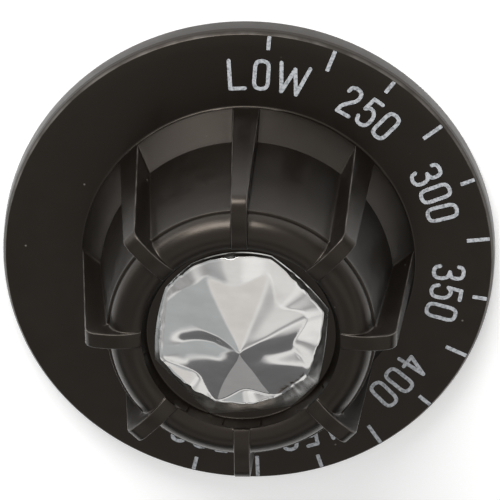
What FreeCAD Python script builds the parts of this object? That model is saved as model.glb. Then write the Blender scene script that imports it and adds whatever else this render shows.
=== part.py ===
"""Oven thermostat knob: a moulded skirt and finned hub, a stamped bright cap and a shaft spring.

The knob's axis is +Z, the back rim of the skirt lies at z = 0, and +Y is the 12 o'clock fin.
"""
import FreeCAD, Part
import os
import re
import Sketcher

# Driving dimensions in millimetres: alias, value, what it measures. Heights are above the skirt's face.
DIMENSIONS = [
    ("skirt_radius", 31.75, "edge of the skirt's face"),
    ("skirt_height", 3.5, "back rim to face"),
    ("skirt_bevel", 0.12, "how far the side stands out past the face's edge"),
    ("skirt_bevel_height", 1.1, "height of the bevel round the face"),
    ("skirt_draft", 0.1, "how far the side spreads towards the back"),
    ("skirt_wall", 1.9, "thickness of the face"),
    ("rim_wall", 2.2, "thickness of the back rim"),
    ("foot_radius", 21.5, "circle where the hub meets the face"),
    ("foot_step", 0.5, "small step round the hub's foot"),
    ("foot_height", 4.95, "top of the conical foot"),
    ("hub_base_radius", 18.8, "hub wall above the conical foot"),
    ("hub_front_radius", 16.85, "hub wall below the bead"),
    ("hub_height", 21.9, "crease between wall and bead"),
    ("hub_wall", 2.1, "thickness of the hub's wall"),
    ("crease_depth", 0.3, "ledge between wall and bead"),
    ("bead_radius", 2.6, "round of the front bead"),
    ("bead_width", 4.4, "bead's inner edge in from the front of the wall"),
    ("bead_mouth_height", 23.75, "height of that edge"),
    ("recess_height", 22.0, "floor of the recess that holds the cap"),
    ("recess_clearance", 0.35, "gap from the cap's corners to the recess wall"),
    ("recess_wall", 2.0, "thickness behind the recess floor"),
    ("fin_count", 8, "fins round the hub"),
    ("fin_base_width", 3.4, "thickness of a fin at the face"),
    ("fin_front_width", 1.9, "thickness of a fin at its front"),
    ("fin_reach", 2.4, "outer front corner of a fin out from the front of the wall, before rounding"),
    ("fin_height", 24.5, "front of a fin at its outer corner"),
    ("fin_corner", 1.4, "round of the outer front corner"),
    ("fin_crown", 8.0, "round of a fin's front edge"),
    ("fin_strap", 0.35, "how far a fin's inner end stands over the bead"),
    ("fin_corner_ease", 0.3, "how much gentler that round is than a quarter circle"),
    ("boss_radius", 6.4, "outside of the shaft boss"),
    ("boss_setback", 1.0, "boss end in from the back rim"),
    ("boss_draft", 0.5, "how far the boss spreads towards its root"),
    ("shaft_diameter", 6.35, "round of the D shaft"),
    ("shaft_flat", 4.75, "round to flat across the D shaft"),
    ("shaft_clearance", 0.08, "gap round the shaft"),
    ("socket_depth", 15.0, "depth of the D socket"),
    ("rib_thickness", 1.6, "ribs between boss and hub wall"),
    ("rib_setback", 10.0, "rib ends in from the boss end"),
    ("spring_width", 4.4, "leaf spring on the shaft's flat"),
    ("spring_thickness", 0.5, "its sheet"),
    ("spring_length", 9.0, "its length along the shaft"),
    ("spring_lip", 1.6, "its lip over the boss end"),
    ("spring_clearance", 0.05, "gap round the spring in its slot"),
    ("cap_gap", 0.95, "corners of the cap's brim in from the bead's inner edge"),
    ("cap_brim", 1.3, "width of the brim at its corners"),
    ("cap_sheet", 0.6, "thickness of the brim"),
    ("cap_height", 5.5, "top of the cap above the recess floor"),
    ("cap_tip", 1.0, "corners of the small flat on top"),
    ("cap_wall", 0.7, "thickness of the cap's facets, along the axis"),
    ("cap_first_corner", 20.0, "degrees clockwise from 12 o'clock to one corner"),
    ("cap_long_side", 52.0, "degrees that a long side spans"),
]
ALIASES = {alias for alias, size, note in DIMENSIONS}

doc = FreeCAD.newDocument("oven_knob")
sizes = doc.addObject("Spreadsheet::Sheet", "Sizes")
for row, (alias, size, note) in enumerate(DIMENSIONS, start=1):
    sizes.set(f"A{row}", alias)
    sizes.set(f"B{row}", str(size))
    sizes.setAlias(f"B{row}", alias)
    sizes.set(f"C{row}", note)
doc.recompute()


def on_sheet(formula):
    """Expression with the sheet's name before each alias."""
    return re.sub("[a-z_]+", lambda word: "Sizes." * (word.group() in ALIASES) + word.group(), formula)


def value(formula):
    """Number that a formula of aliases gives now."""
    return float(sizes.evalExpression(on_sheet(formula)))


def sketch_on(body, name, role, lift=None):
    """Sketch on one of the body's own origin planes, lifted along its normal where lift is given."""
    sketch = body.newObject("Sketcher::SketchObject", name)
    plane = next(feature for feature in body.Origin.OriginFeatures if feature.Role == role)
    sketch.AttachmentSupport = (plane, [""])
    sketch.MapMode = "FlatFace"
    if lift is not None:
        sketch.setExpression("AttachmentOffset.Base.z", on_sheet(lift))
    return sketch


def arc_between(start, end, radius):
    """Short arc from start to end, which bulges to the right of that way if radius is positive."""
    chord = end - start
    half = chord.Length / 2
    right = FreeCAD.Vector(chord.y, -chord.x, 0).normalize()
    rise = abs(radius) - (radius * radius - half * half) ** 0.5
    bulge = rise if radius > 0 else -rise
    return Part.Arc(start, (start + end) / 2 + right * bulge, end)


def bind(sketch, constraint, formula):
    """Adds a constraint whose size is the formula."""
    number = sketch.addConstraint(constraint)
    sketch.setExpression(f"Constraints[{number}]", on_sheet(formula))


def hold_point(sketch, geometry, end, across, along):
    """Fixes one end of a line or arc by the formulas of its place."""
    if across == "0":
        sketch.addConstraint(Sketcher.Constraint("PointOnObject", geometry, end, -2))
    else:
        bind(sketch, Sketcher.Constraint("DistanceX", geometry, end, value(across)), across)
    if along == "0":
        sketch.addConstraint(Sketcher.Constraint("PointOnObject", geometry, end, -1))
    else:
        bind(sketch, Sketcher.Constraint("DistanceY", geometry, end, value(along)), along)


def draw(sketch, corners, arcs=None):
    """Closed outline through corners, each a pair of formulas.

    arcs maps the number of a side to the formula of its radius and to its bulge: 1 right, -1 left.
    """
    arcs = arcs or {}
    points = [FreeCAD.Vector(value(across), value(along), 0) for across, along in corners]
    sides = []
    for side, start in enumerate(points):
        end = points[(side + 1) % len(points)]
        if side in arcs:
            formula, bulge = arcs[side]
            number = sketch.addGeometry(arc_between(start, end, bulge * value(formula)), False)
            bind(sketch, Sketcher.Constraint("Radius", number, value(formula)), formula)
            sides.append((number, 1, 2) if bulge > 0 else (number, 2, 1))
        else:
            number = sketch.addGeometry(Part.LineSegment(start, end), False)
            sides.append((number, 1, 2))
    for side, (number, first, last) in enumerate(sides):
        after, after_first, after_last = sides[(side + 1) % len(sides)]
        sketch.addConstraint(Sketcher.Constraint("Coincident", number, last, after, after_first))
        hold_point(sketch, number, first, *corners[side])
    doc.recompute()
    return sketch


def add_turned(body, kind, name, sketch):
    """Revolution or Groove of a sketch right round the knob's axis."""
    feature = body.newObject(f"PartDesign::{kind}", name)
    feature.Profile = sketch
    feature.ReferenceAxis = (sketch, ["V_Axis"])
    feature.Angle = 360
    doc.recompute()
    return feature


def add_straight(body, kind, name, sketch, length, both_ways=False, backwards=False):
    """Pad or Pocket of a sketch along its normal."""
    feature = body.newObject(f"PartDesign::{kind}", name)
    feature.Profile = sketch
    feature.SideType = "Symmetric" if both_ways else "One side"
    feature.Reversed = backwards
    feature.setExpression("Length", on_sheet(length))
    doc.recompute()
    return feature


def add_pattern(body, name, originals, count):
    """Repeats features evenly round the knob's axis."""
    pattern = body.newObject("PartDesign::PolarPattern", name)
    pattern.Originals = originals
    pattern.Axis = (next(axis for axis in body.Origin.OriginFeatures if axis.Role == "Z_Axis"), [""])
    pattern.Angle = 360
    pattern.setExpression("Occurrences", on_sheet(count))
    body.Tip = pattern
    doc.recompute()


# Places that several pieces share.
BEAD_MOUTH = "(hub_front_radius - bead_width)"
CAP_RADIUS = f"({BEAD_MOUTH} - cap_gap)"
RECESS_FLOOR = "(skirt_height + recess_height)"
CAVITY_CEILING = "(skirt_height + recess_height - recess_wall)"
CAVITY_SHOULDER = "(skirt_height + foot_height - hub_wall / 2)"
SOCKET_RADIUS = "(shaft_diameter / 2 + shaft_clearance)"
SOCKET_FLAT = "(shaft_flat - shaft_diameter / 2 + shaft_clearance)"

knob_body = doc.addObject("PartDesign::Body", "knob_body")


def make_skirt_and_hub():
    """Solid of revolution: skirt with its bevelled face, conical foot, drafted wall, bead and cap recess."""
    side = "skirt_radius + skirt_bevel"
    crease = "skirt_height + hub_height"
    outline = [
        ("0", "0"),
        (f"{side} + skirt_draft", "0"),
        (side, "skirt_height - skirt_bevel_height"),
        ("skirt_radius", "skirt_height"),
        ("foot_radius", "skirt_height"),
        ("foot_radius", "skirt_height + foot_step"),
        ("hub_base_radius", "skirt_height + foot_height"),
        ("hub_front_radius", crease),
        ("hub_front_radius - crease_depth", crease),
        (BEAD_MOUTH, "skirt_height + bead_mouth_height"),
        (f"{CAP_RADIUS} + recess_clearance", RECESS_FLOOR),
        ("0", RECESS_FLOOR),
    ]
    bead_side = 8
    sketch = draw(sketch_on(knob_body, "hub_outline", "XZ_Plane"), outline, {bead_side: ("bead_radius", 1)})
    add_turned(knob_body, "Revolution", "skirt_and_hub", sketch)


def make_fins():
    """Fins that thin towards the front, with a rounded outer corner and a crowned strap over the bead."""
    front = "skirt_height + fin_height"
    top = f"{front} + fin_corner"
    base_half = "fin_base_width / 2"
    front_half = "fin_front_width / 2"
    section = [
        (f"-{base_half}", "skirt_height"),
        (base_half, "skirt_height"),
        (front_half, top),
        (f"-{front_half}", top),
    ]
    sketch = draw(sketch_on(knob_body, "fin_section", "XZ_Plane", f"-{BEAD_MOUTH}"), section)
    fin = add_straight(knob_body, "Pad", "fin", sketch, f"foot_radius - {BEAD_MOUTH}", backwards=True)

    corner = "(hub_front_radius + fin_reach)"
    lean = f"(foot_radius - {corner}) * 2 * fin_corner / (fin_height + fin_corner)"
    clear = "foot_radius + fin_corner"
    inner = f"{BEAD_MOUTH} - recess_clearance"
    above = f"{top} + fin_corner"
    outline = [
        (inner, "skirt_height + bead_mouth_height + fin_strap"),
        (f"{corner} - fin_corner", front),
        (f"{corner} + {lean}", f"{front} - fin_corner"),
        ("foot_radius", "skirt_height"),
        (clear, "skirt_height"),
        (clear, above),
        (inner, above),
    ]
    crown_side, corner_side = 0, 1
    rounds = {crown_side: ("fin_crown", -1), corner_side: ("fin_corner + fin_corner_ease", -1)}
    sketch = draw(sketch_on(knob_body, "fin_profile", "YZ_Plane"), outline, rounds)
    trim = add_straight(knob_body, "Pocket", "fin_trim", sketch, "2 * fin_base_width", both_ways=True)
    add_pattern(knob_body, "fins", [fin, trim], "fin_count")


def make_underside():
    """Dished back, hub cavity round a shaft boss, four ribs, the D socket and the spring's slot."""
    dish = "skirt_radius + skirt_bevel - rim_wall"
    ceiling = "skirt_height - skirt_wall"
    cavity = [
        ("0", "0"),
        (dish, "0"),
        (dish, ceiling),
        ("foot_radius - hub_wall", ceiling),
        ("hub_base_radius - hub_wall", CAVITY_SHOULDER),
        ("hub_front_radius - hub_wall", CAVITY_CEILING),
        ("boss_radius + boss_draft", CAVITY_CEILING),
        ("boss_radius", "boss_setback"),
        ("0", "boss_setback"),
    ]
    sketch = draw(sketch_on(knob_body, "cavity_outline", "XZ_Plane"), cavity)
    add_turned(knob_body, "Groove", "cavity", sketch)

    rib_end = "(boss_setback + rib_setback)"
    rib_root = f"{CAVITY_CEILING} + recess_wall / 2"
    top = "(hub_front_radius - hub_wall / 2)"
    spread = f"(hub_base_radius - hub_front_radius) / ({CAVITY_CEILING} - {CAVITY_SHOULDER})"
    low = f"({top} + {spread} * ({CAVITY_CEILING} - {rib_end}))"
    rib = [(f"-{low}", rib_end), (low, rib_end), (top, rib_root), (f"-{top}", rib_root)]
    for name, role in (("rib_across", "XZ_Plane"), ("rib_upright", "YZ_Plane")):
        sketch = draw(sketch_on(knob_body, f"{name}_outline", role), rib)
        add_straight(knob_body, "Pad", name, sketch, "rib_thickness", both_ways=True)

    half_flat = f"sqrt({SOCKET_RADIUS}^2 - {SOCKET_FLAT}^2)"
    socket = [(f"-{half_flat}", SOCKET_FLAT), ("0", f"-{SOCKET_RADIUS}"), (half_flat, SOCKET_FLAT)]
    sketch = draw(sketch_on(knob_body, "socket_outline", "XY_Plane"), socket,
                  {0: (SOCKET_RADIUS, 1), 1: (SOCKET_RADIUS, 1)})
    add_straight(knob_body, "Pocket", "socket", sketch, "boss_setback + socket_depth", backwards=True)

    half_slot = "(spring_width / 2 + spring_clearance)"
    slot_back = f"{SOCKET_FLAT} + spring_thickness + 2 * spring_clearance"
    slot = [(f"-{half_slot}", "0"), (half_slot, "0"), (half_slot, slot_back), (f"-{half_slot}", slot_back)]
    sketch = draw(sketch_on(knob_body, "slot_outline", "XY_Plane"), slot)
    depth = "boss_setback + spring_length + spring_clearance"
    add_straight(knob_body, "Pocket", "spring_slot", sketch, depth, backwards=True)


def make_spring():
    """Spring-steel leaf on the shaft's flat, with a lip that seats on the boss end."""
    body = doc.addObject("PartDesign::Body", "shaft_spring")
    face = f"{SOCKET_FLAT} + spring_clearance"
    back = f"{face} + spring_thickness"
    outline = [
        (face, "boss_setback - spring_thickness"),
        (f"{back} + spring_lip", "boss_setback - spring_thickness"),
        (f"{back} + spring_lip", "boss_setback"),
        (back, "boss_setback"),
        (back, "boss_setback + spring_length"),
        (face, "boss_setback + spring_length"),
    ]
    sketch = draw(sketch_on(body, "leaf_outline", "YZ_Plane"), outline)
    add_straight(body, "Pad", "leaf", sketch, "spring_width", both_ways=True)


def cap_outline(radius):
    """Eight corners of the cap: a hexagon with two opposite corners cut off by short sides."""
    turns = [f"{long_sides} * cap_long_side" for long_sides in (0, 1, 2)] + ["180 - cap_long_side"]
    corners = []
    for half_turn in (0, 180):
        for turn in turns:
            angle = f"((cap_first_corner + {half_turn} + {turn}) * 1 deg)"
            corners.append((f"{radius} * sin({angle})", f"{radius} * cos({angle})"))
    return corners


def make_cap():
    """Stamped bright cap: an eight-sided brim and a low faceted pyramid, hollow behind."""
    body = doc.addObject("PartDesign::Body", "centre_cap")
    corners = f"({CAP_RADIUS} - cap_brim)"
    rise = "(cap_height - cap_sheet)"
    brim_top = f"({RECESS_FLOOR} + cap_sheet)"
    top = f"({RECESS_FLOOR} + cap_height)"
    sketch = draw(sketch_on(body, "brim_outline", "XY_Plane", RECESS_FLOOR), cap_outline(CAP_RADIUS))
    add_straight(body, "Pad", "brim", sketch, "cap_sheet")
    sketch = draw(sketch_on(body, "block_outline", "XY_Plane", brim_top), cap_outline(corners))
    add_straight(body, "Pad", "block", sketch, rise)

    # Sides of one half turn: the middle of each from the first corner, and how much it spans.
    short_side = "(180 - 3 * cap_long_side)"
    sides = [
        ("cap_long_side / 2", "cap_long_side"),
        ("3 * cap_long_side / 2", "cap_long_side"),
        ("90 + cap_long_side / 2", short_side),
        ("180 - cap_long_side / 2", "cap_long_side"),
    ]
    cuts = []
    for number, (middle, span) in enumerate(sides, start=1):
        inset = f"cos({span} / 2 * 1 deg)"
        outline = [
            (f"cap_tip * {inset}", top),
            (f"{corners} * {inset}", brim_top),
            (CAP_RADIUS, brim_top),
            (CAP_RADIUS, top),
        ]
        sketch = sketch_on(body, f"facet_profile_{number}", "YZ_Plane")
        clockwise = FreeCAD.Rotation(FreeCAD.Vector(0, -1, 0), 1)
        sketch.AttachmentOffset = FreeCAD.Placement(FreeCAD.Vector(), clockwise)
        turn = f"(cap_first_corner + {middle}) * 1 deg"
        sketch.setExpression("AttachmentOffset.Rotation.Angle", on_sheet(turn))
        draw(sketch, outline)
        width = f"4 * {CAP_RADIUS}"
        cuts.append(add_straight(body, "Pocket", f"facet_{number}", sketch, width, both_ways=True))
    add_pattern(body, "facets", cuts, "2")

    inset = "cos(cap_long_side / 2 * 1 deg)"
    spread = f"(({corners} - cap_tip) * {inset} / {rise})"
    hollow = [
        ("0", RECESS_FLOOR),
        (f"{corners} * {inset} - {spread} * (cap_wall - cap_sheet)", RECESS_FLOOR),
        (f"cap_tip * {inset}", f"{top} - cap_wall"),
        ("0", f"{top} - cap_wall"),
    ]
    add_turned(body, "Groove", "hollow", draw(sketch_on(body, "hollow_outline", "XZ_Plane"), hollow))


make_skirt_and_hub()
make_fins()
make_underside()
make_spring()
make_cap()
doc.recompute()

for item in doc.Objects:
    if {"Invalid", "Error"} & set(item.State):
        raise RuntimeError(f"{item.Name} failed: {item.State}")

os.makedirs("parts", exist_ok=True)
for item in doc.findObjects("PartDesign::Body"):
    shape = item.Shape
    if shape.isNull() or not shape.isValid() or len(shape.Solids) != 1:
        raise RuntimeError(f"{item.Label} is not one valid solid")
    print(item.Label, "volume", round(shape.Volume, 2), "box", shape.BoundBox)
    shape.exportStep(f"parts/{item.Label}.step")
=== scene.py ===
"""Looks of an oven thermostat knob: a satin black moulding with a printed scale and a bright stamped cap."""
import math

import bmesh
import bpy
from mathutils import Matrix, Vector


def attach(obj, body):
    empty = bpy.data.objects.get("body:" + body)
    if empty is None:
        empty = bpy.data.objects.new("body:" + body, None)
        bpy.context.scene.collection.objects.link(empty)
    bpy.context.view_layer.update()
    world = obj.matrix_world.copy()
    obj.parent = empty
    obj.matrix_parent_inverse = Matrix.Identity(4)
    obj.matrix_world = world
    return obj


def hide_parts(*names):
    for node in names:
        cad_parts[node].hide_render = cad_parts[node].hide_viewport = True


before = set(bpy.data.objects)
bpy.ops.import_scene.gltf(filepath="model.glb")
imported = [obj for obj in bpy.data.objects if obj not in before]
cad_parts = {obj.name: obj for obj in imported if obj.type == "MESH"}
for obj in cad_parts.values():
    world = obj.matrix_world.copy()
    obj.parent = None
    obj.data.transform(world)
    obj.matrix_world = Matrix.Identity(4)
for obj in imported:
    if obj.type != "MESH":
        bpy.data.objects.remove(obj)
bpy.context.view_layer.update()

MM = 0.001
FULL_TURN = 2 * math.pi
# Points nearer to each other than this, in metres, are one point.
MERGE_DISTANCE = 2e-7
# Edges sharper than this, in degrees, show as edges.
SHARP_ANGLE = 38

# Sizes of the moulding in millimetres. Heights are above the back rim.
FACE = 3.5
SKIRT_RADIUS = 31.75
SKIRT_BEVEL = 0.12
SKIRT_BEVEL_HEIGHT = 1.1
SKIRT_BEVEL_ROUND = 0.25
SKIRT_DRAFT = 0.1
SKIRT_WALL = 1.9
FACE_CHAMFER = 0.3
FACE_CHAMFER_HEIGHT = 0.55
FACE_CHAMFER_ROUND = 0.15
RIM_WALL = 2.2
RIM_DRAFT = 0.1
RIM_ROUND = 0.3
FOOT_RADIUS = 21.5
FOOT_STEP = 0.5
FOOT_FILLET = 0.22
FOOT_ROUND = 0.12
FOOT_TOP = FACE + 4.95
HUB_BASE_RADIUS = 18.8
HUB_BASE_ROUND = 0.22
HUB_FRONT_RADIUS = 16.85
HUB_FRONT = FACE + 21.9
HUB_FRONT_ROUND = 0.1
HUB_WALL = 2.1
CREASE_DEPTH = 0.3
CREASE_DROP = 0.02
BEAD_RADIUS = 2.6
MOUTH_RADIUS = 12.45
MOUTH = FACE + 23.75
MOUTH_STEP = 0.06
MOUTH_DROP = 0.4
RECESS_FLOOR = FACE + 22.0
RECESS_RADIUS = 11.85
RECESS_ROUND = 0.25
CAVITY_CEILING = RECESS_FLOOR - 2.0
CAVITY_ROUND = 0.6
CAVITY_BEND_ROUND = 1.0
FIN_COUNT = 8
FIN_BASE_WIDTH = 3.4
FIN_FRONT_WIDTH = 1.9
FIN_FRONT_RADIUS = 19.25
FIN_FRONT = FACE + 24.5
FIN_CORNER = 1.4
FIN_CORNER_ROUND = 1.7
FIN_CROWN = 8.0
FIN_STRAP = 0.35
FIN_EDGE_ROUND = 0.18
FIN_ROOT_ROUND = 0.18
BOSS_RADIUS = 6.4
BOSS_DRAFT = 0.5
BOSS_END = 1.0
BOSS_ROUND = 0.3
RIB_THICKNESS = 1.6
RIB_END = BOSS_END + 10.0
RIB_ROOT = 1.0
SHAFT_DIAMETER = 6.35
SHAFT_TO_FLAT = 4.75
SHAFT_CLEARANCE = 0.08
SOCKET_RADIUS = SHAFT_DIAMETER / 2 + SHAFT_CLEARANCE
SOCKET_FLAT = SHAFT_TO_FLAT - SHAFT_DIAMETER / 2 + SHAFT_CLEARANCE
SOCKET_END = BOSS_END + 15.0
SOCKET_OVERCUT = 1.0
SLOT_HALF_WIDTH = 2.25
SLOT_BACK = SOCKET_FLAT + 0.6
SLOT_END = BOSS_END + 9.05

# Radii of the rings of points on flat stretches.
RECESS_RINGS = (0.0, 4.0, 8.0)
FACE_RINGS = (FOOT_RADIUS + 0.3, FOOT_RADIUS + 1.5, FOOT_RADIUS + 4.5, SKIRT_RADIUS - 2.0)
BOSS_RINGS = (4.0, 0.0)

# How finely the curves are divided.
ROUND_STEPS = 5
WALL_ROUND_STEPS = 4
WALL_STEPS = 24
FOOT_STEPS = 8
BEAD_STEPS = 40
BEAD_POINTS = 30
CROWN_STEPS = 24
FIN_CORNER_STEPS = 12
GAP_STEPS = 10
SOCKET_STEPS = 40

# Largest part of a stretch that the round at one end of it may take.
ROUND_SHARE = 0.45
SMALLEST_GAP = 1e-6

# Where the moulding's edges are painted pale as a highlight: part of the round along a fin's edge, and a
# narrow band on the chamfer of the face.
FIN_HIGHLIGHT_SPAN = (math.radians(40), math.radians(70))
FACE_HIGHLIGHT_WIDTH = 0.5
FACE_HIGHLIGHT_DEPTHS = (0.01, 0.2)


def link_mesh(name, vertices, faces, material, sharp_angle=SHARP_ANGLE, edge_highlight_and_brim=None):
    """Mesh object from points in millimetres, shaded smooth except at edges sharper than the angle."""
    mesh = bpy.data.meshes.new(name)
    mesh.from_pydata([Vector(point) * MM for point in vertices], [], faces)
    piece = bpy.data.objects.new(name, mesh)
    bpy.context.scene.collection.objects.link(piece)
    mesh.materials.append(material)
    # The mask marks edges painted pale as a highlight on the moulding, and the brim on the cap.
    if edge_highlight_and_brim:
        mesh.attributes.new("edge_highlight_and_brim", "FLOAT", "POINT").data.foreach_set("value", edge_highlight_and_brim)
    clean_mesh(mesh, sharp_angle)
    return piece


def clean_mesh(mesh, sharp_angle):
    """Merges points that fall together, turns the faces outwards and sets the smooth shading."""
    work = bmesh.new()
    work.from_mesh(mesh)
    bmesh.ops.remove_doubles(work, verts=work.verts, dist=MERGE_DISTANCE)
    bmesh.ops.recalc_face_normals(work, faces=work.faces)
    work.to_mesh(mesh)
    work.free()
    mesh.polygons.foreach_set("use_smooth", [True] * len(mesh.polygons))
    mesh.set_sharp_from_angle(angle=math.radians(sharp_angle))


# Profiles: lists of (radius, height) points

def sweep(centre, start, end, steps):
    """Points from start to end, the short way round a centre."""
    first = start - centre
    turn = first.angle_signed(end - centre)
    spokes = [Matrix.Rotation(-turn * step / steps, 2) @ first for step in range(steps + 1)]
    return [centre + spoke for spoke in spokes]


def round_corners(points, steps=ROUND_STEPS):
    """Polyline of (radius, height, corner round) points with an arc at each corner that has a round."""
    line = []
    for index, (radius, height, corner) in enumerate(points):
        here = Vector((radius, height))
        if not corner or index in (0, len(points) - 1):
            line.append(here)
            continue
        back = Vector(points[index - 1][:2]) - here
        ahead = Vector(points[index + 1][:2]) - here
        half = back.angle(ahead) / 2
        reach = min(corner / math.tan(half), ROUND_SHARE * back.length, ROUND_SHARE * ahead.length)
        start = here + back.normalized() * reach
        end = here + ahead.normalized() * reach
        centre = here + (back.normalized() + ahead.normalized()).normalized() * reach / math.cos(half)
        line += sweep(centre, start, end, steps)
    return line


def arc(start, end, radius, steps):
    """Short arc between two (radius, height) points, which bulges to the front."""
    start = Vector(start)
    end = Vector(end)
    chord = end - start
    side = Vector((-chord.y, chord.x)).normalized()
    if side.y < 0:
        side = -side
    centre = (start + end) / 2 - side * math.sqrt(radius * radius - chord.length_squared / 4)
    return sweep(centre, start, end, steps)


def resample(line, count):
    """The same polyline with count points, evenly spaced along it."""
    reach = [0.0]
    for here, there in zip(line, line[1:]):
        reach.append(reach[-1] + (there - here).length)
    spaced = []
    leg = 0
    for number in range(count):
        target = reach[-1] * number / (count - 1)
        while leg < len(line) - 2 and reach[leg + 1] < target:
            leg += 1
        share = (target - reach[leg]) / (reach[leg + 1] - reach[leg])
        spaced.append(line[leg].lerp(line[leg + 1], share))
    return spaced


def recess_line():
    """From the axis over the recess floor and up its wall to just below the mouth."""
    floor = [Vector((radius, RECESS_FLOOR)) for radius in RECESS_RINGS]
    wall = [
        (RECESS_RINGS[-1], RECESS_FLOOR, 0),
        (RECESS_RADIUS, RECESS_FLOOR, RECESS_ROUND),
        (MOUTH_RADIUS - MOUTH_STEP, MOUTH - MOUTH_DROP, 0),
    ]
    return floor + round_corners(wall)[1:]


def bead_line():
    """From the mouth over the bead to the crease."""
    crease = (HUB_FRONT_RADIUS - CREASE_DEPTH, HUB_FRONT)
    return resample(arc((MOUTH_RADIUS, MOUTH), crease, BEAD_RADIUS, BEAD_STEPS), BEAD_POINTS)


def wall_line():
    """From the crease down the drafted wall and the conical foot to the face."""
    crease = Vector((HUB_FRONT_RADIUS - CREASE_DEPTH, HUB_FRONT))
    wall_top = Vector((HUB_FRONT_RADIUS, HUB_FRONT - CREASE_DROP))
    wall_foot = Vector((HUB_BASE_RADIUS, FOOT_TOP))
    foot = Vector((FOOT_RADIUS, FACE + FOOT_STEP))
    corners = [(*crease, 0), (*wall_top, HUB_FRONT_ROUND)]
    corners += [(*wall_top.lerp(wall_foot, step / WALL_STEPS), 0) for step in range(1, WALL_STEPS)]
    corners.append((*wall_foot, HUB_BASE_ROUND))
    corners += [(*wall_foot.lerp(foot, step / FOOT_STEPS), 0) for step in range(1, FOOT_STEPS)]
    corners += [(*foot, FOOT_ROUND), (FOOT_RADIUS, FACE + FOOT_FILLET, 0)]
    return round_corners(corners, WALL_ROUND_STEPS)


def skirt_line():
    """From the foot over the face and the rim, then through the hollow back to the axis."""
    side = SKIRT_RADIUS + SKIRT_BEVEL
    dish = side - RIM_WALL
    back = FACE - SKIRT_WALL
    fillet_top = Vector((FOOT_RADIUS, FACE + FOOT_FILLET))
    fillet_end = Vector((FOOT_RADIUS + FOOT_FILLET, FACE))
    fillet = sweep(fillet_top + Vector((FOOT_FILLET, 0)), fillet_top, fillet_end, ROUND_STEPS)
    corners = [(radius, FACE, 0) for radius in FACE_RINGS]
    corners += [
        (SKIRT_RADIUS - FACE_CHAMFER, FACE, FACE_CHAMFER_ROUND),
        (SKIRT_RADIUS, FACE - FACE_CHAMFER_HEIGHT, FACE_CHAMFER_ROUND),
        (side, FACE - SKIRT_BEVEL_HEIGHT, SKIRT_BEVEL_ROUND),
        (side + SKIRT_DRAFT, 0, RIM_ROUND),
        (dish, 0, RIM_ROUND),
        (dish - RIM_DRAFT, back, RIM_ROUND),
        (FOOT_RADIUS - HUB_WALL, back, CAVITY_ROUND),
        (HUB_BASE_RADIUS - HUB_WALL, FOOT_TOP - HUB_WALL / 2, CAVITY_BEND_ROUND),
        (HUB_FRONT_RADIUS - HUB_WALL, CAVITY_CEILING, CAVITY_ROUND),
        (BOSS_RADIUS + BOSS_DRAFT, CAVITY_CEILING, CAVITY_ROUND),
        (BOSS_RADIUS, BOSS_END, BOSS_ROUND),
    ]
    corners += [(radius, BOSS_END, 0) for radius in BOSS_RINGS]
    return fillet[1:] + round_corners(corners)


def fin_front_line():
    """Front edge of a fin: its inner end on the mouth, the crowned strap and the rounded outer corner."""
    lean = (FOOT_RADIUS - FIN_FRONT_RADIUS) * 2 * FIN_CORNER / (FIN_FRONT - FACE + FIN_CORNER)
    shoulder = (FIN_FRONT_RADIUS - FIN_CORNER, FIN_FRONT)
    low = (FIN_FRONT_RADIUS + lean, FIN_FRONT - FIN_CORNER)
    crown = arc((MOUTH_RADIUS, MOUTH + FIN_STRAP), shoulder, FIN_CROWN, CROWN_STEPS)
    corner = arc(shoulder, low, FIN_CORNER_ROUND, FIN_CORNER_STEPS)
    return resample([Vector((MOUTH_RADIUS, MOUTH))] + crown + corner[1:], BEAD_POINTS)


def fin_edge_line():
    """Outer edge of a fin, from its front corner down to the face, with a point for each one on the wall."""
    top = fin_front_line()[-1]
    foot = Vector((FOOT_RADIUS, FACE))
    wall = wall_line()
    return [foot.lerp(top, (spot.y - FACE) / (wall[0].y - FACE)) for spot in wall]


def fin_half_width(height):
    """Half the thickness of a fin at a height."""
    share = (height - FACE) / (FIN_FRONT + FIN_CORNER - FACE)
    share = min(max(share, 0.0), 1.0)
    return (FIN_BASE_WIDTH * (1 - share) + FIN_FRONT_WIDTH * share) / 2


# Moulding

class Column:
    """One line of points from the front axis to the back axis, at one place round an eighth of the knob.

    kind names a stretch across a fin and the gap beside it, and amount is the place along that stretch.
    place runs from 0 at a fin's middle to 1 midway between two fins. It sets the angle where the knob is
    plainly round.
    """

    def __init__(self, kind, amount, place):
        self.kind = kind
        self.amount = amount
        self.place = place

    def round_point(self, spot):
        """Point on a plain round stretch."""
        angle = self.place * math.pi / FIN_COUNT
        return Vector((spot.x * math.sin(angle), spot.x * math.cos(angle), spot.y))

    def fin_point(self, hub, fin):
        """Point on the finned stretch, between the hub's own surface and a fin's edge."""
        if self.kind == "gap":
            root = math.asin((fin_half_width(hub.y) + FIN_ROOT_ROUND) / hub.x)
            angle = root + (math.pi / FIN_COUNT - root) * self.amount
            return Vector((hub.x * math.sin(angle), hub.x * math.cos(angle), hub.y))
        gap = (fin - hub).length
        edge = min(FIN_EDGE_ROUND, ROUND_SHARE * gap)
        root = min(FIN_ROOT_ROUND, ROUND_SHARE * gap)
        if self.kind == "flat":
            inset = edge
            depth = 0.0
        elif self.kind == "edge":
            inset = edge * (1 - math.sin(self.amount))
            depth = edge * (1 - math.cos(self.amount))
        elif self.kind == "side":
            inset = 0.0
            depth = edge + (gap - edge - root) * self.amount
        else:
            inset = -FIN_ROOT_ROUND * (1 - math.cos(self.amount))
            depth = gap - root * (1 - math.sin(self.amount))
        share = depth / gap if gap > SMALLEST_GAP else 0.0
        spot = fin.lerp(hub, share)
        half = fin_half_width(spot.y)
        across = (half - inset) * (self.amount if self.kind == "flat" else 1.0)
        hub_depth = math.sqrt(hub.x * hub.x - across * across)
        return Vector((across, fin.x + (hub_depth - fin.x) * share, spot.y))


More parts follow.
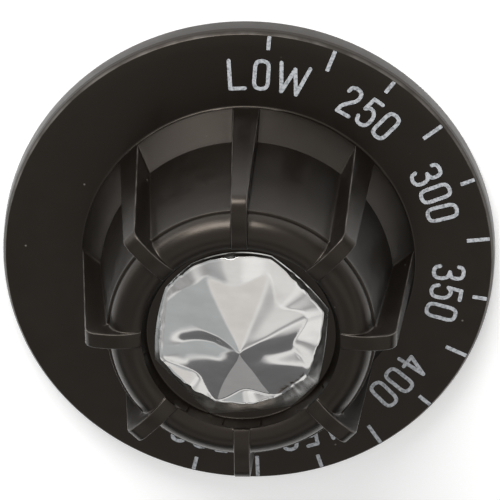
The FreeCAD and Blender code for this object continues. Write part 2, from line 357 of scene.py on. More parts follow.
def half_fin_columns():
    """Columns from a fin's middle to midway between two fins."""
    kinds = [("flat", share) for share in (0.0, 0.5, 1.0)]
    kinds += [("edge", math.radians(angle)) for angle in (22.5, 45, 67.5, 90)]
    kinds += [("side", share) for share in (0.35, 0.7)]
    kinds += [("root", math.radians(angle)) for angle in (0, 30, 60)]
    kinds += [("gap", step / GAP_STEPS) for step in range(GAP_STEPS + 1)]
    last = len(kinds) - 1
    return [Column(kind, amount, number / last) for number, (kind, amount) in enumerate(kinds)]


def knob_columns():
    """All columns of points round the moulding, in millimetres."""
    recess = recess_line()
    hub = bead_line() + wall_line()[1:]
    fin = fin_front_line() + fin_edge_line()[1:]
    skirt = skirt_line()
    half = []
    for column in half_fin_columns():
        points = [column.round_point(spot) for spot in recess]
        points += [column.fin_point(spot, edge) for spot, edge in zip(hub, fin)]
        points += [column.round_point(spot) for spot in skirt]
        half.append(points)
    mirrored = [[Vector((-spot.x, spot.y, spot.z)) for spot in points] for points in half[1:-1]]
    eighth = mirrored[::-1] + half
    columns = []
    for number in range(FIN_COUNT):
        turn = Matrix.Rotation(-number * FULL_TURN / FIN_COUNT, 3, "Z")
        columns += [[turn @ point for point in points] for points in eighth]
    return columns


def on_face_edge(spot):
    """Whether a point of the skirt lies in the band round the face that is painted pale as a highlight."""
    least, most = FACE_HIGHLIGHT_DEPTHS
    return spot.x > SKIRT_RADIUS - FACE_HIGHLIGHT_WIDTH and least < FACE - spot.y < most


def painted_edge_highlights():
    """How far each point of the moulding is painted pale as a highlight: long fin edges and the face's edge.
    """
    least, most = FIN_HIGHLIGHT_SPAN
    front = [0.0] * len(recess_line())
    finned = len(bead_line() + wall_line()[1:])
    rim = [float(on_face_edge(spot)) for spot in skirt_line()]
    half = []
    for column in half_fin_columns():
        on_fin_edge = column.kind == "edge" and least < column.amount < most
        half.append(front + [float(on_fin_edge)] * finned + rim)
    eighth = half[-2:0:-1] + half
    return [edge_highlight_and_brim for column in eighth * FIN_COUNT for edge_highlight_and_brim in column]


def grid_faces(column_count, row_count):
    """Quads between neighbouring columns, all the way round."""
    faces = []
    for column in range(column_count):
        after = (column + 1) % column_count
        for row in range(row_count - 1):
            here = column * row_count + row
            there = after * row_count + row
            faces.append((here, here + 1, there + 1, there))
    return faces


def prism(outline, low, high):
    """Points and faces of a closed prism over an outline of (x, y) points."""
    count = len(outline)
    points = [(x, y, low) for x, y in outline] + [(x, y, high) for x, y in outline]
    faces = [tuple(range(count))[::-1], tuple(range(count, 2 * count))]
    for here in range(count):
        there = (here + 1) % count
        faces.append((here, there, count + there, count + here))
    return points, faces


def socket_outline():
    """D of the shaft socket, with its flat towards +Y."""
    start = math.acos(SOCKET_FLAT / SOCKET_RADIUS)
    angles = [start + (FULL_TURN - 2 * start) * step / SOCKET_STEPS for step in range(SOCKET_STEPS + 1)]
    return [(-SOCKET_RADIUS * math.sin(angle), SOCKET_RADIUS * math.cos(angle)) for angle in angles]


def slot_outline():
    """Slot for the spring, from the axis to behind the flat of the socket."""
    return [
        (-SLOT_HALF_WIDTH, 0),
        (SLOT_HALF_WIDTH, 0),
        (SLOT_HALF_WIDTH, SLOT_BACK),
        (-SLOT_HALF_WIDTH, SLOT_BACK),
    ]


def rib_outline():
    """Side of a rib that runs right across the cavity."""
    spread = (HUB_BASE_RADIUS - HUB_FRONT_RADIUS) / (CAVITY_CEILING - FOOT_TOP)
    top = HUB_FRONT_RADIUS - HUB_WALL / 2
    low = top + spread * (CAVITY_CEILING - RIB_END)
    root = CAVITY_CEILING + RIB_ROOT
    return [(-low, RIB_END), (low, RIB_END), (top, root), (-top, root)]


def combine(piece, tool, operation):
    """Joins or cuts a piece with a tool mesh and removes the tool."""
    modifier = piece.modifiers.new(operation, "BOOLEAN")
    modifier.operation = operation
    modifier.object = tool
    modifier.solver = "MANIFOLD"
    depsgraph = bpy.context.evaluated_depsgraph_get()
    mesh = bpy.data.meshes.new_from_object(piece.evaluated_get(depsgraph))
    piece.modifiers.clear()
    old = piece.data
    piece.data = mesh
    bpy.data.meshes.remove(old)
    spare = tool.data
    bpy.data.objects.remove(tool)
    bpy.data.meshes.remove(spare)


def make_knob(material):
    """The whole moulding: skirt, hub, fins, bead and the hollow back with its boss, ribs and socket."""
    columns = knob_columns()
    vertices = [point for column in columns for point in column]
    faces = grid_faces(len(columns), len(columns[0]))
    # The mesh carries the mask of its edges that are painted pale as a highlight.
    knob = link_mesh("knob_moulding", vertices, faces, material, edge_highlight_and_brim=painted_edge_highlights())
    for name, turn in (("rib_across", 0.0), ("rib_upright", math.pi / 2)):
        points, faces = prism(rib_outline(), -RIB_THICKNESS / 2, RIB_THICKNESS / 2)
        stand = Matrix.Rotation(turn, 3, "Z") @ Matrix.Rotation(math.pi / 2, 3, "X")
        rib = link_mesh(name, [stand @ Vector(point) for point in points], faces, material)
        combine(knob, rib, "UNION")
    for name, outline, end in (("socket", socket_outline(), SOCKET_END), ("slot", slot_outline(), SLOT_END)):
        points, faces = prism(outline, BOSS_END - SOCKET_OVERCUT, end)
        combine(knob, link_mesh(name, points, faces, material), "DIFFERENCE")
    clean_mesh(knob.data, SHARP_ANGLE)
    return knob


# Printed scale

INK_LOW = FACE - 0.01
INK_HIGH = FACE + 0.02
# Strokes that cross lie at different levels, so that no two tops share a plane.
INK_STEP = 0.004
INK_LEVELS = 4
INK_STROKE = 0.5
TICK_COUNT = 13
TICK_STEP = math.radians(15.70)
FIRST_TICK = math.radians(5.54)
TICK_CORNER = 0.1
TICK_OUTER = 31.27
SHORT_TICK_INNER = 29.57
LONG_TICK_INNER = 28.5
LABEL_RADIUS = 26.0
LABELS = ["LOW", "250", "300", "350", "400", "450", "500"]
LETTER_HEIGHT = 3.85
LETTER_WIDTHS = {"L": 1.85, "W": 3.75}
DIGIT_WIDTH = 1.72
DIGIT_PITCH = 2.85
LOW_PLACES = (-3.69, -0.54, 3.47)
CURVE_STEPS = 5
# Places round the corners of a stroke's end, between its side and its tip.
END_ANGLES = (math.radians(35), math.radians(62), math.radians(80))

# Strokes of each character in a box from -1 to 1 both ways. A stroke marked True runs as a smooth curve.
ROUND_LEFT = [(0, 1), (-0.72, 0.9), (-1, 0.58), (-1, 0), (-1, -0.58), (-0.72, -0.9), (0, -1)]
ROUND_RIGHT = [(-x, y) for x, y in ROUND_LEFT]
STROKES = {
    "0": [(ROUND_LEFT, True), (ROUND_RIGHT, True)],
    "2": [
        ([(-1, 0.6), (-0.8, 0.88), (-0.1, 1), (0.75, 0.86), (0.95, 0.5), (0.7, 0.16), (0, -0.16),
          (-0.75, -0.55), (-1, -1)], True),
        ([(-1, -1), (1, -1)], False),
    ],
    "3": [
        ([(-1, 0.66), (-0.75, 0.92), (0, 1), (0.75, 0.87), (0.92, 0.54), (0.7, 0.2), (-0.1, 0.08)], True),
        ([(-0.1, 0.08), (0.7, -0.06), (1, -0.46), (0.75, -0.88), (0, -1), (-0.75, -0.9), (-1, -0.6)], True),
    ],
    "4": [
        ([(0.35, 1), (-1, -0.42)], False),
        ([(-1, -0.42), (1, -0.42)], False),
        ([(0.35, 1), (0.35, -1)], False),
    ],
    "5": [
        ([(0.9, 1), (-0.62, 1)], False),
        ([(-0.62, 1), (-0.85, 0.1)], False),
        ([(-0.85, 0.1), (-0.3, 0.3), (0.35, 0.26), (0.9, -0.02), (1, -0.42), (0.78, -0.84), (0.05, -1),
          (-0.7, -0.9), (-1, -0.58)], True),
    ],
    "L": [([(-1, 1), (-1, -1)], False), ([(-1, -1), (1, -1)], False)],
    "W": [
        ([(-1, 1), (-0.56, -1)], False),
        ([(-0.56, -1), (0.02, 0.74)], False),
        ([(0.02, 0.74), (0.46, -1)], False),
        ([(0.46, -1), (1, 1)], False),
    ],
}
STROKES["O"] = STROKES["0"]


def smooth_line(points):
    """Smooth curve through all the points."""
    spots = [Vector(point) for point in points]
    spots = [2 * spots[0] - spots[1]] + spots + [2 * spots[-1] - spots[-2]]
    line = []
    for before, here, there, after in zip(spots, spots[1:], spots[2:], spots[3:]):
        for step in range(CURVE_STEPS):
            share = step / CURVE_STEPS
            slope = (there - before) / 2 * share
            bend = (before - 2.5 * here + 2 * there - after / 2) * share ** 2
            curl = (1.5 * (here - there) + (after - before) / 2) * share ** 3
            line.append(here + slope + bend + curl)
    return line + [spots[-2]]


def stroke_sections(line, corner):
    """Cross-sections along a stroke with rounded end corners: middle, sideways direction and half width."""
    half = INK_STROKE / 2
    sections = []
    for index, spot in enumerate(line):
        ahead = (line[min(index + 1, len(line) - 1)] - line[max(index - 1, 0)]).normalized()
        sections.append((spot, ahead, half))
    start, start_way, _ = sections[0]
    end, end_way, _ = sections[-1]
    for angle in END_ANGLES:
        reach = corner * math.sin(angle)
        width = half - corner + corner * math.cos(angle)
        sections.insert(0, (start - start_way * reach, start_way, width))
        sections.append((end + end_way * reach, end_way, width))
    return [(spot, Vector((-ahead.y, ahead.x)), width) for spot, ahead, width in sections]


def stroke_plate(line, place, corner, high):
    """Points and faces of a thin plate along a stroke. place maps a flat point to (x, y) on the face."""
    points = []
    for spot, side, width in stroke_sections(line, corner):
        for flat in (place(spot - side * width), place(spot + side * width)):
            points += [(flat.x, flat.y, INK_LOW), (flat.x, flat.y, high)]
    last = len(points) - 4
    faces = [(0, 1, 3, 2), (last, last + 2, last + 3, last + 1)]
    for base in range(0, last, 4):
        for here, there in ((0, 1), (1, 3), (3, 2), (2, 0)):
            faces.append((base + here, base + there, base + 4 + there, base + 4 + here))
    return points, faces


def turned_to(angle):
    """Map to the face from points with y outward and x clockwise, for an angle clockwise from 12 o'clock."""
    turn = Matrix.Rotation(-angle, 2)
    return lambda spot: turn @ spot


def printed_strokes():
    """All strokes of the scale: a line of flat points, their map to the face and the round of the ends."""
    strokes = []
    for tick in range(TICK_COUNT):
        angle = FIRST_TICK + tick * TICK_STEP
        inner = LONG_TICK_INNER if tick % 2 else SHORT_TICK_INNER
        strokes.append(([Vector((0, TICK_OUTER)), Vector((0, inner))], turned_to(angle), TICK_CORNER))
    for number, label in enumerate(LABELS):
        middle = FIRST_TICK + 2 * number * TICK_STEP
        places = LOW_PLACES if label == "LOW" else (-DIGIT_PITCH, 0.0, DIGIT_PITCH)
        for character, along in zip(label, places):
            scale = Vector((LETTER_WIDTHS.get(character, DIGIT_WIDTH) / 2, LETTER_HEIGHT / 2))
            for stroke, curved in STROKES[character]:
                line = smooth_line(stroke) if curved else [Vector(point) for point in stroke]
                line = [Vector((spot.x * scale.x, LABEL_RADIUS + spot.y * scale.y)) for spot in line]
                strokes.append((line, turned_to(middle + along / LABEL_RADIUS), INK_STROKE / 2))
    return strokes


def make_print(material):
    """Thin plates of white ink on the skirt's face: ticks, numbers and the word for the lowest setting."""
    points = []
    faces = []
    for number, (line, place, corner) in enumerate(printed_strokes()):
        high = INK_HIGH + INK_STEP * (number % INK_LEVELS)
        more_points, more_faces = stroke_plate(line, place, corner, high)
        faces += [tuple(len(points) + index for index in face) for face in more_faces]
        points += more_points
    return link_mesh("dial_print", points, faces, material)


# Stamped cap

CAP_TOP = FACE + 27.5
CAP_EDGE = FACE + 22.15
CAP_FIRST_CORNER = 20.0
CAP_LONG_SIDE = 52.0
CAP_SHORT_SIDE = 180 - 3 * CAP_LONG_SIDE
CAP_SPANS = [CAP_LONG_SIDE, CAP_LONG_SIDE, CAP_SHORT_SIDE, CAP_LONG_SIDE] * 2
CAP_SIDE_COLUMNS = 28
CAP_ROWS = 36
CAP_SHARP_ANGLE = 50
FACET_SLOPE = math.tan(math.radians(28.5))
RIDGE_SHARPNESS = 9.0
# Unevenness of the pressing, corner by corner: twist of the crease and slope of the flatter outer band in
# degrees, then radius and lift of the corner, width of the brim and rise of the band in millimetres.
CREASE_TWISTS = (3.0, -3.0, 3.0, 2.0, 4.0, 5.0, -3.0, -4.0)
BAND_SLOPES = (9.0, 11.0, -4.0, -6.0, -8.0, -10.0, 4.0, 6.0)
CORNER_RADII = (11.5, 11.5, 11.6, 11.75, 11.8, 11.4, 11.3, 11.4)
CORNER_LIFTS = (0.1, 0.1, 0.3, 0.05, 0.1, 0.16, 0.0, 0.04)
BRIM_WIDTHS = (0.3, 0.6, 1.6, 2.0, 2.1, 0.7, 0.2, 0.3)
CORNER_BANDS = (0.5, 0.6, 0.15, 0.1, 0.1, 0.15, 0.05, 0.35)
# Side by side: how round it is between straight and circular, and how far its middle is pressed up in
# millimetres.
SIDE_BULGES = (0.35, 0.2, 0.1, 0.12, 0.06, 0.4, 0.5, 0.85)
SIDE_BANDS = (0.5, 0.8, 0.0, 1.2, 1.2, 0.0, 0.0, 0.5)
# Grooves beside two of the ridges: degrees clockwise from 12 o'clock, depth and width in millimetres.
GROOVES = ((262, 0.72, 1.7), (105, 0.4, 1.4))
# A groove sways to both sides by these degrees over this length. It is full from its start radius on, and
# fades out between two others.
GROOVE_SWAY = 5.0
GROOVE_SWAY_LENGTH = 11.0
GROOVE_START = 3.0
GROOVE_FADE = (7.5, 10.0)
# Waves of the fold between facets and brim: size in millimetres, number on a side and shift between sides.
FOLD_WAVES = ((0.07, 2.3, 0.37), (0.05, 5.1, 0.6))
# Small tab in the fold at the middle of a long side: depth in millimetres and half its part of the side.
TAB_DEPTH = 0.15
TAB_HALF_PART = 0.06
# How strongly the lift of a corner and the waves of the fold keep to the outside.
LIFT_POWER = 4
WAVE_POWER = 16
FOLD_STEP = 0.06
FOLD_DROP = 0.05
BRIM_EDGE_STEP = 0.12
BRIM_EDGE_DROP = 0.05
BRIM_BACK_BEVEL = 0.2
BRIM_BACK_BEVEL_HEIGHT = 0.1


def cap_corner_angles():
    """Degrees clockwise from 12 o'clock of the cap's corners."""
    angles = [CAP_FIRST_CORNER]
    for span in CAP_SPANS[:-1]:
        angles.append(angles[-1] + span)
    return angles


def blend(values, side, share):
    """Value between two neighbouring corners, with no slope at either."""
    ease = share * share * (3 - 2 * share)
    return values[side] * (1 - ease) + values[(side + 1) % len(values)] * ease


def fold_wander(side, share):
    """How far the fold between facets and brim strays, with a small tab at the middle of each long side."""
    waves = 0.0
    for size, count, shift in FOLD_WAVES:
        waves += size * math.sin(FULL_TURN * (count * share + shift * side))
    has_tab = CAP_SPANS[side] == CAP_LONG_SIDE and abs(share - 0.5) < TAB_HALF_PART
    return waves * math.sin(math.pi * share) - (TAB_DEPTH if has_tab else 0.0)


def groove_depth(radius, angle):
    """How deep the grooves are at a place, in millimetres."""
    full, gone = GROOVE_FADE
    ends = min(radius / GROOVE_START, 1) * min(max((gone - radius) / (gone - full), 0), 1)
    sway = GROOVE_SWAY * math.sin(FULL_TURN * radius / GROOVE_SWAY_LENGTH)
    total = 0.0
    for groove, depth, width in GROOVES:
        away = math.radians(angle - groove - sway)
        along = ends * max(math.cos(away), 0) ** 2
        total += depth * along * math.exp(-(radius * math.sin(away) / width) ** 2)
    return total


def facet_height(radius, angle):
    """Height of the eight flat facets with their softened ridges and the grooves."""
    reaches = []
    for corner, span in zip(cap_corner_angles(), CAP_SPANS):
        reaches.append(radius * math.cos(math.radians(angle - corner - span / 2)))
    total = sum(math.exp(RIDGE_SHARPNESS * (reach - radius)) for reach in reaches)
    height = CAP_TOP - FACET_SLOPE * (radius + math.log(total) / RIDGE_SHARPNESS)
    return height - groove_depth(radius, angle)


def cap_column(side, share):
    """Points from the cap's top to the middle of its flat back, at one place along a side."""
    span = CAP_SPANS[side]
    edge_angle = cap_corner_angles()[side] + span * share
    straight = math.cos(math.radians(span / 2)) / math.cos(math.radians(span * (share - 0.5)))
    reach = straight + (1 - straight) * SIDE_BULGES[side]
    edge = blend(CORNER_RADII, side, share) * reach
    fold = edge - blend(BRIM_WIDTHS, side, share) * reach
    rise = blend(CORNER_BANDS, side, share) + SIDE_BANDS[side] * math.sin(math.pi * share) ** 2
    fold_height = max(facet_height(fold, edge_angle), CAP_EDGE) + rise
    lift = blend(CORNER_LIFTS, side, share)
    twist = blend(CREASE_TWISTS, side, share)
    band_slope = math.tan(math.radians(blend(BAND_SLOPES, side, share)))
    column = []
    for row in range(CAP_ROWS + 1):
        out = row / CAP_ROWS
        radius = fold * out
        band = fold_height + band_slope * (fold - radius)
        height = max(facet_height(radius, edge_angle), band) + lift * out ** LIFT_POWER
        radius += fold_wander(side, share) * out ** WAVE_POWER
        angle = math.radians(edge_angle + twist * math.sin(math.pi * out))
        column.append((radius * math.sin(angle), radius * math.cos(angle), height))
    brim = [
        (radius + FOLD_STEP, height - FOLD_DROP),
        (edge - BRIM_EDGE_STEP, CAP_EDGE + lift),
        (edge, CAP_EDGE + lift - BRIM_EDGE_DROP),
        (edge, RECESS_FLOOR + BRIM_BACK_BEVEL_HEIGHT),
        (edge - BRIM_BACK_BEVEL, RECESS_FLOOR),
        (0.0, RECESS_FLOOR),
    ]
    angle = math.radians(edge_angle)
    column += [(radius * math.sin(angle), radius * math.cos(angle), height) for radius, height in brim]
    return column


def make_cap(material):
    """Cap pressed from thin bright sheet: a bent brim, flatter bands inside it and eight uneven facets."""
    steps = CAP_SIDE_COLUMNS
    columns = [cap_column(side, step / steps) for side in range(len(CAP_SPANS)) for step in range(steps)]
    vertices = [point for column in columns for point in column]
    rows = len(columns[0])
    edge_highlight_and_brim = [float(row > CAP_ROWS) for row in range(rows)] * len(columns)
    return link_mesh("bright_cap", vertices, grid_faces(len(columns), rows), material, CAP_SHARP_ANGLE, edge_highlight_and_brim)


# Material nodes

def add_node(tree, kind, **settings):
    """Node with some of its properties or input values set."""
    node = tree.nodes.new(kind)
    for name, setting in settings.items():
        if name in node.inputs:
            node.inputs[name].default_value = setting
        else:
            setattr(node, name, setting)
    return node


def new_group(name, inputs, outputs):
    """Empty node group with named sockets, each a name and a kind, and its input and output nodes."""
    group = bpy.data.node_groups.new(name, "ShaderNodeTree")
    for label, kind in inputs:
        group.interface.new_socket(label, in_out="INPUT", socket_type=kind)
    for label, kind in outputs:
        group.interface.new_socket(label, in_out="OUTPUT", socket_type=kind)
    return group, group.nodes.new("NodeGroupInput"), group.nodes.new("NodeGroupOutput")


def join(tree, source, node, name):
    """Gives a node's input a link from a socket, or a plain value."""
    if isinstance(source, bpy.types.NodeSocket):
        tree.links.new(source, node.inputs[name])
    else:
        node.inputs[name].default_value = source


def noise_at(tree, scale, detail, stretch=(1, 1, 1)):
    """Noise over the piece, with a number of features to a metre. Stretch crowds them along an axis."""
    place = add_node(tree, "ShaderNodeTexCoord")
    spread = add_node(tree, "ShaderNodeMapping")
    noise = add_node(tree, "ShaderNodeTexNoise")
    join(tree, place.outputs["Object"], spread, "Vector")
    join(tree, stretch, spread, "Scale")
    join(tree, spread.outputs["Vector"], noise, "Vector")
    join(tree, scale, noise, "Scale")
    join(tree, detail, noise, "Detail")
    return noise.outputs["Fac"]


def range_of(tree, source, span, result):
    """Value mapped from a span to a result, each a pair of ends, and held inside it."""
    scale = add_node(tree, "ShaderNodeMapRange")
    for name, end in zip(("From Min", "From Max", "To Min", "To Max"), (*span, *result)):
        join(tree, end, scale, name)
    join(tree, source, scale, "Value")
    return scale.outputs["Result"]


def mix_of(tree, share, under, over):
    """Colour between two others, by a share."""
    mix = add_node(tree, "ShaderNodeMix", data_type="RGBA")
    join(tree, share, mix, "Factor")
    join(tree, under, mix, "A")
    join(tree, over, mix, "B")
    return mix.outputs["Result"]


def calculate(tree, operation, *sources):
    """Result of a plain calculation with values."""
    node = add_node(tree, "ShaderNodeMath", operation=operation)
    for number, source in enumerate(sources):
        join(tree, source, node, number)
    return node.outputs["Value"]


def bump_of(tree, source, strength, distance):
    """Normal from a height that varies over the surface."""
    bump = add_node(tree, "ShaderNodeBump", Strength=strength, Distance=distance)
    join(tree, source, bump, "Height")
    return bump.outputs["Normal"]


# Levels of noise between which a finish changes, and those between which dust sets in.
NOISE_SPAN = (0.3, 0.7)
DUST_SPAN = (0.56, 0.62)
# Distances from the middle of a speck, in parts of its cell, between which it fades out.
SPECK_SPAN = (0.025, 0.055)


def uneven_finish():
    """Group: tone and gloss that follow one noise over the surface, and the noise itself.

    The tone is dark below one level of the noise and light above another, and the gloss changes with it.
    """
    group, given, out = new_group(
        "uneven_finish",
        [("Scale", "NodeSocketFloat"), ("Detail", "NodeSocketFloat"), ("Stretch", "NodeSocketVector"),
         ("DarkBelow", "NodeSocketFloat"), ("LightAbove", "NodeSocketFloat"),
         ("Dark", "NodeSocketColor"), ("Light", "NodeSocketColor"),
         ("DarkRoughness", "NodeSocketFloat"), ("LightRoughness", "NodeSocketFloat")],
        [("Color", "NodeSocketColor"), ("Roughness", "NodeSocketFloat"), ("Noise", "NodeSocketFloat")])
    value = given.outputs
    noise = noise_at(group, value["Scale"], value["Detail"], value["Stretch"])
    share = range_of(group, noise, (value["DarkBelow"], value["LightAbove"]), (0, 1))
    gloss = range_of(group, noise, NOISE_SPAN, (value["DarkRoughness"], value["LightRoughness"]))
    join(group, mix_of(group, share, value["Dark"], value["Light"]), out, "Color")
    join(group, gloss, out, "Roughness")
    join(group, noise, out, "Noise")
    return group


def dust_specks():
    """Group: mask of specks in dusty patches, with a number of specks and a number of patches to a metre."""
    group, given, out = new_group(
        "dust_specks",
        [("Specks", "NodeSocketFloat"), ("Patches", "NodeSocketFloat")],
        [("Mask", "NodeSocketFloat")])
    place = add_node(group, "ShaderNodeTexCoord")
    cells = add_node(group, "ShaderNodeTexVoronoi")
    join(group, place.outputs["Object"], cells, "Vector")
    join(group, given.outputs["Specks"], cells, "Scale")
    dots = range_of(group, cells.outputs["Distance"], SPECK_SPAN, (1.0, 0.0))
    patches = range_of(group, noise_at(group, given.outputs["Patches"], detail=2.0), DUST_SPAN, (0.0, 1.0))
    join(group, calculate(group, "MULTIPLY", dots, patches), out, "Mask")
    return group


UNEVEN_FINISH = uneven_finish()
DUST_SPECKS = dust_specks()


def finish_of(tree, scale, detail, tones=(), gloss=(), span=NOISE_SPAN, stretch=(1, 1, 1)):
    """Outputs of the uneven finish with a material's own pairs of tones, of roughness and of noise levels."""
    node = add_node(tree, "ShaderNodeGroup", node_tree=UNEVEN_FINISH)
    for name, value in (("Scale", scale), ("Detail", detail), ("Stretch", stretch)):
        join(tree, value, node, name)
    for name, level in zip(("DarkBelow", "LightAbove"), span):
        join(tree, level, node, name)
    for name, tone in zip(("Dark", "Light"), tones):
        join(tree, (*tone, 1), node, name)
    for name, roughness in zip(("DarkRoughness", "LightRoughness"), gloss):
        join(tree, roughness, node, name)
    return node.outputs


def edge_highlight_and_brim_of(tree):
    """How far the mesh marks a point: edges painted pale as a highlight on the moulding, the brim on the cap.
    """
    return add_node(tree, "ShaderNodeAttribute", attribute_name="edge_highlight_and_brim").outputs["Fac"]


def new_material(name):
    """Node material with its tree and its Principled shader."""
    material = bpy.data.materials.new(name)
    material.use_nodes = True
    tree = material.node_tree
    return material, tree, tree.nodes["Principled BSDF"]


# Materials

# Pale tone painted on the edges of the fins and the face as a highlight.
EDGE_HIGHLIGHT_TONE = (0.065, 0.06, 0.055, 1)
DUST_TONE = (0.12, 0.11, 0.1, 1)
WARM_SHINE = (1.0, 0.87, 0.75, 1)
BLACK_SHINE = 0.4
BRIM_DULLNESS = 0.2


def moulded_black():
    """Satin warm-black moulding with faint clouds, grain, edges painted pale as highlights and a few specks
    of dust.
    """
    material, tree, shader = new_material("moulded_black")
    clouds = finish_of(tree, scale=140, detail=4.0, tones=((0.0022, 0.0015, 0.001), (0.0034, 0.0025, 0.0018)))
    sheen = finish_of(tree, scale=420, detail=5.0, gloss=(0.28, 0.36))
    specks = add_node(tree, "ShaderNodeGroup", node_tree=DUST_SPECKS, Specks=330.0, Patches=95.0)
    patchy = range_of(tree, noise_at(tree, scale=300, detail=3.0), (0.4, 0.6), (0.25, 1))
    # Edges painted pale as a highlight, patchy along them.
    highlighted_edges = mix_of(tree, calculate(tree, "MULTIPLY", edge_highlight_and_brim_of(tree), patchy), clouds["Color"], EDGE_HIGHLIGHT_TONE)
    join(tree, mix_of(tree, specks.outputs["Mask"], highlighted_edges, DUST_TONE), shader, "Base Color")
    join(tree, sheen["Roughness"], shader, "Roughness")
    grain = noise_at(tree, scale=5200, detail=2.0)
    join(tree, bump_of(tree, grain, strength=0.1, distance=0.00006), shader, "Normal")
    join(tree, BLACK_SHINE, shader, "Specular IOR Level")
    join(tree, WARM_SHINE, shader, "Specular Tint")
    return material


def polished_cap():
    """Bright plated sheet with soft waves from the press and light smears, dull and streaked on its brim."""
    material, tree, shader = new_material("polished_cap")
    smears = finish_of(tree, scale=260, detail=4.0, tones=((0.68, 0.665, 0.655), (0.75, 0.74, 0.73)),
                       gloss=(0.06, 0.13), stretch=(1, 2.2, 1))
    streaks = finish_of(tree, scale=420, detail=5.0, tones=((0.35, 0.35, 0.34), (0.85, 0.85, 0.84)),
                        span=(0.35, 0.65), stretch=(1, 1, 4))
    worn = edge_highlight_and_brim_of(tree)
    join(tree, mix_of(tree, worn, smears["Color"], streaks["Color"]), shader, "Base Color")
    join(tree, calculate(tree, "MULTIPLY_ADD", worn, BRIM_DULLNESS, smears["Roughness"]), shader, "Roughness")
    waves = noise_at(tree, scale=210, detail=1.0)
    join(tree, bump_of(tree, waves, strength=0.12, distance=0.0006), shader, "Normal")
    join(tree, 1.0, shader, "Metallic")
    return material


def white_ink():
    """Cool white printing ink, a little uneven and thin in places."""
    material, tree, shader = new_material("white_ink")
    cover = finish_of(tree, scale=2600, detail=3.0, tones=((0.2, 0.21, 0.225), (0.45, 0.465, 0.49)),
                      gloss=(0.6, 0.45), span=(0.32, 0.55))
    join(tree, cover["Color"], shader, "Base Color")
    join(tree, cover["Roughness"], shader, "Roughness")
    return material


def rolled_steel():
    """Spring strip with fine lines along its rolling direction."""
    material, tree, shader = new_material("rolled_steel")
    lines = finish_of(tree, scale=900, detail=4.0, tones=((0.4, 0.4, 0.41), (0.55, 0.55, 0.55)),
                      gloss=(0.25, 0.4), stretch=(6, 1, 0.15))
    join(tree, lines["Color"], shader, "Base Color")
    join(tree, lines["Roughness"], shader, "Roughness")
    join(tree, bump_of(tree, lines["Noise"], strength=0.2, distance=0.00005), shader, "Normal")
    join(tree, 1.0, shader, "Metallic")
    return material


# Camera, floor and lights

CAMERA_TILT = math.radians(24.52)
CAMERA_SIDE = math.radians(2.52)
CAMERA_ROLL = math.radians(-0.66)
CAMERA_DISTANCE = 600.7
CAMERA_OFFSET = (0.241, 1.321)
CAMERA_LENS = 334.2
CAMERA_SENSOR = 36
FLOOR_TONE = (0.9, 0.9, 0.9, 1)
FLOOR_ROUGHNESS = 0.9
FLOOR_GLOW = 0.22
FLOOR_REACH = 3000
ROOM_STRENGTH = 1.2
# How the room looks from the knob: its brightest way, and tones from the way opposite to that one up to it.
BRIGHT_WAY = Vector((-0.1, 0.5, 0.86)).normalized()
ROOM_TONES = [
    (0.0, (0.1, 0.1, 0.1)),
    (0.3, (0.12, 0.12, 0.12)),
    (0.52, (0.16, 0.16, 0.165)),
    (0.58, (0.78, 0.78, 0.77)),
    (0.65, (0.78, 0.78, 0.77)),
    (0.73, (0.38, 0.38, 0.38)),
    (0.765, (0.36, 0.36, 0.36)),
    (0.79, (0.29, 0.29, 0.29)),
    (0.815, (0.42, 0.42, 0.42)),
    (0.85, (0.7, 0.7, 0.69)),
    (0.92, (0.74, 0.74, 0.73)),
    (1.0, (0.66, 0.64, 0.62)),
]
# Patches of the room, the bluish left side and a gleam to the right: the way to it, the cosines of the angles
# where it starts and where it is full, and its tone.
ROOM_PATCHES = [
    (Vector((-0.8, -0.05, 0.62)), (0.83, 0.93), (0.41, 0.43, 0.435, 1)),
    (Vector((0.36, -0.16, 0.92)), (0.95, 0.985), (0.85, 0.85, 0.84, 1)),
]


def camera_axes():
    """Right, up and backward directions of the camera."""
    backward = Vector((math.sin(CAMERA_SIDE) * math.cos(CAMERA_TILT), math.sin(CAMERA_TILT),
                       math.cos(CAMERA_SIDE) * math.cos(CAMERA_TILT)))
    right = Vector((0, 1, 0)).cross(backward).normalized()
    up = backward.cross(right)
    rolled_right = right * math.cos(CAMERA_ROLL) + up * math.sin(CAMERA_ROLL)
    rolled_up = up * math.cos(CAMERA_ROLL) - right * math.sin(CAMERA_ROLL)
    return rolled_right, rolled_up, backward


def make_camera():
    """Camera at the photograph's viewing angle, above the 12 o'clock side of the knob."""
    right, up, backward = camera_axes()
    eye = right * CAMERA_OFFSET[0] + up * CAMERA_OFFSET[1] + backward * CAMERA_DISTANCE + Vector((0, 0, FACE))
    data = bpy.data.cameras.new("camera")
    data.lens = CAMERA_LENS
    data.sensor_width = CAMERA_SENSOR
    camera = bpy.data.objects.new("camera", data)
    turn = Matrix((right, up, backward)).transposed().to_4x4()
    camera.matrix_world = Matrix.Translation(eye * MM) @ turn
    bpy.context.scene.collection.objects.link(camera)
    bpy.context.scene.camera = camera


def make_floor():
    """Wide pale floor that reads white and keeps the knob's shadow."""
    material, tree, shader = new_material("floor_white")
    join(tree, FLOOR_TONE, shader, "Base Color")
    join(tree, FLOOR_ROUGHNESS, shader, "Roughness")
    join(tree, (1, 1, 1, 1), shader, "Emission Color")
    path = add_node(tree, "ShaderNodeLightPath")
    seen = path.outputs["Is Camera Ray"]
    for ray in ("Is Glossy Ray", "Is Transmission Ray"):
        seen = calculate(tree, "MAXIMUM", seen, path.outputs[ray])
    join(tree, range_of(tree, seen, (0, 1), (0, FLOOR_GLOW)), shader, "Emission Strength")
    reach = FLOOR_REACH
    corners = [(-reach, -reach, 0), (reach, -reach, 0), (reach, reach, 0), (-reach, reach, 0)]
    floor = link_mesh("floor", corners, [(0, 1, 2, 3)], material)


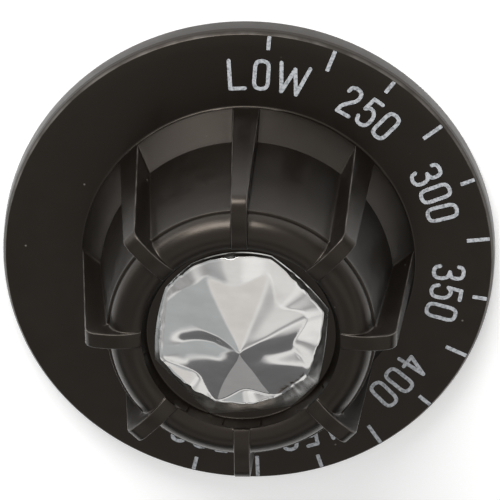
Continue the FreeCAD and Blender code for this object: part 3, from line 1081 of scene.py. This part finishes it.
def add_area(name, place, target, size, power):
    """Soft rectangular lamp that faces a point, in metres and watts."""
    data = bpy.data.lights.new(name, "AREA")
    data.shape = "RECTANGLE"
    data.size, data.size_y = size
    data.energy = power
    lamp = bpy.data.objects.new(name, data)
    aim = (Vector(target) - Vector(place)).to_track_quat("-Z", "Y")
    lamp.matrix_world = Matrix.Translation(place) @ aim.to_matrix().to_4x4()
    bpy.context.scene.collection.objects.link(lamp)


def make_lights():
    """Low wide window behind 11 o'clock with a bright card under it, and a dim panel in front."""
    add_area("panel", place=(0.05, -1.0, 0.16), target=(0, 0, 0.03), size=(0.32, 0.4), power=0.09)
    add_area("window", place=(-0.2, 0.9, 0.47), target=(0, 0, 0.02), size=(0.8, 0.44), power=12.5)
    add_area("card", place=(-0.6, 0.8, 0.12), target=(0, 0, 0.02), size=(0.9, 0.2), power=3.0)


def toward(tree, way):
    """Cosine of the angle between the way of looking and a given way."""
    place = add_node(tree, "ShaderNodeTexCoord")
    product = add_node(tree, "ShaderNodeVectorMath", operation="DOT_PRODUCT")
    join(tree, place.outputs["Generated"], product, 0)
    join(tree, way, product, 1)
    return product.outputs["Value"]


def tones_of(tree, source, stops):
    """Colour ramp on a value, from (position, colour) stops."""
    ramp = add_node(tree, "ShaderNodeValToRGB")
    while len(ramp.color_ramp.elements) < len(stops):
        ramp.color_ramp.elements.new(0.5)
    for element, (position, colour) in zip(ramp.color_ramp.elements, stops):
        element.position = position
        element.color = (*colour, 1)
    join(tree, source, ramp, "Fac")
    return ramp.outputs["Color"]


def make_world():
    """Room that is pale overhead and behind 12 o'clock, and dim towards 6 o'clock."""
    world = bpy.data.worlds.new("room")
    world.use_nodes = True
    tree = world.node_tree
    room = tones_of(tree, range_of(tree, toward(tree, BRIGHT_WAY), (-1, 1), (0, 1)), ROOM_TONES)
    for way, span, tone in ROOM_PATCHES:
        room = mix_of(tree, range_of(tree, toward(tree, way.normalized()), span, (0, 1)), room, tone)
    join(tree, room, tree.nodes["Background"], "Color")
    join(tree, ROOM_STRENGTH, tree.nodes["Background"], "Strength")
    bpy.context.scene.world = world


knob = make_knob(moulded_black())
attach(knob, "root")
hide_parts("knob_body")

cap = make_cap(polished_cap())
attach(cap, "root")
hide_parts("centre_cap")

dial_print = make_print(white_ink())
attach(dial_print, "root")

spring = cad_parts["shaft_spring"]
spring.data.materials.clear()
spring.data.materials.append(rolled_steel())

make_floor()
make_world()
make_lights()
make_camera()
bpy.context.scene.view_settings.view_transform = "Standard"
